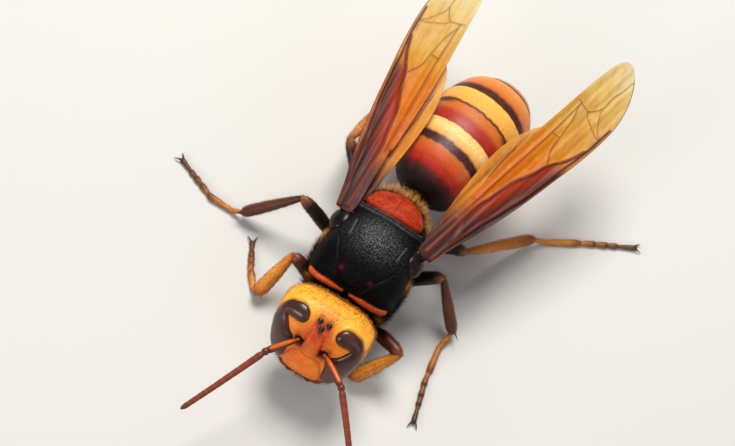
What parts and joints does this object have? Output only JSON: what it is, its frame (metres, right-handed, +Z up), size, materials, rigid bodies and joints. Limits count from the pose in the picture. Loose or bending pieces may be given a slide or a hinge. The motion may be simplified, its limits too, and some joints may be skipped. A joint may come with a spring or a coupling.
{
  "type": "asian giant hornet worker, life-size still model",
  "caption": "Life-size still model of an Asian giant hornet, standing with head lowered, wings folded lengthwise and half spread, and the banded gaster curled down.",
  "frame": {"origin": "on the floor, under the middle of the animal's bounding box", "axes": "+Y from the head towards the tail, +X towards the animal's left, +Z up"},
  "size_m": [0.05, 0.0598, 0.0157],
  "materials": {
    "head_shell": "satin, golden orange with fine short hair",
    "eye": "glossy dark brown",
    "jaw": "glossy orange-brown with black teeth",
    "chest": "finely punctured satin black",
    "scutellum": "finely punctured satin orange-red",
    "tegula": "glossy brown-black",
    "feeler": "satin red-brown",
    "wing": "amber membrane with brown veins",
    "thigh": "glossy black",
    "shin": "satin orange-brown",
    "foot": "satin orange-brown",
    "gaster": "satin, banded orange, dark brown and yellow"
  },
  "bodies": {
    "root": {"antenna_flagellum_left": "feeler", "antenna_flagellum_right": "feeler", "antenna_scape_left": "feeler", "antenna_scape_right": "feeler", "eye_left": "eye", "eye_right": "eye", "forewing_left": "wing", "forewing_right": "wing", "gaster_1": "gaster", "gaster_2": "gaster", "gaster_3": "gaster", "gaster_4": "gaster", "gaster_5": "gaster", "gaster_6": "gaster", "head": "head_shell", "hindwing_left": "wing", "hindwing_right": "wing", "leg_left_fore_coxa": "thigh", "leg_left_fore_femur": "thigh", "leg_left_fore_tarsus": "foot", "leg_left_fore_tibia": "shin", "leg_left_hind_coxa": "thigh", "leg_left_hind_femur": "thigh", "leg_left_hind_tarsus": "foot", "leg_left_hind_tibia": "shin", "leg_left_mid_coxa": "thigh", "leg_left_mid_femur": "thigh", "leg_left_mid_tarsus": "foot", "leg_left_mid_tibia": "shin", "leg_right_fore_coxa": "thigh", "leg_right_fore_femur": "thigh", "leg_right_fore_tarsus": "foot", "leg_right_fore_tibia": "shin", "leg_right_hind_coxa": "thigh", "leg_right_hind_femur": "thigh", "leg_right_hind_tarsus": "foot", "leg_right_hind_tibia": "shin", "leg_right_mid_coxa": "thigh", "leg_right_mid_femur": "thigh", "leg_right_mid_tarsus": "foot", "leg_right_mid_tibia": "shin", "mandible_left": "jaw", "mandible_right": "jaw", "mesothorax": "chest", "pronotum": "chest", "propodeum": "chest", "scutellum": "scutellum", "tegula_left": "tegula", "tegula_right": "tegula"}
  },
  "joints": []
}
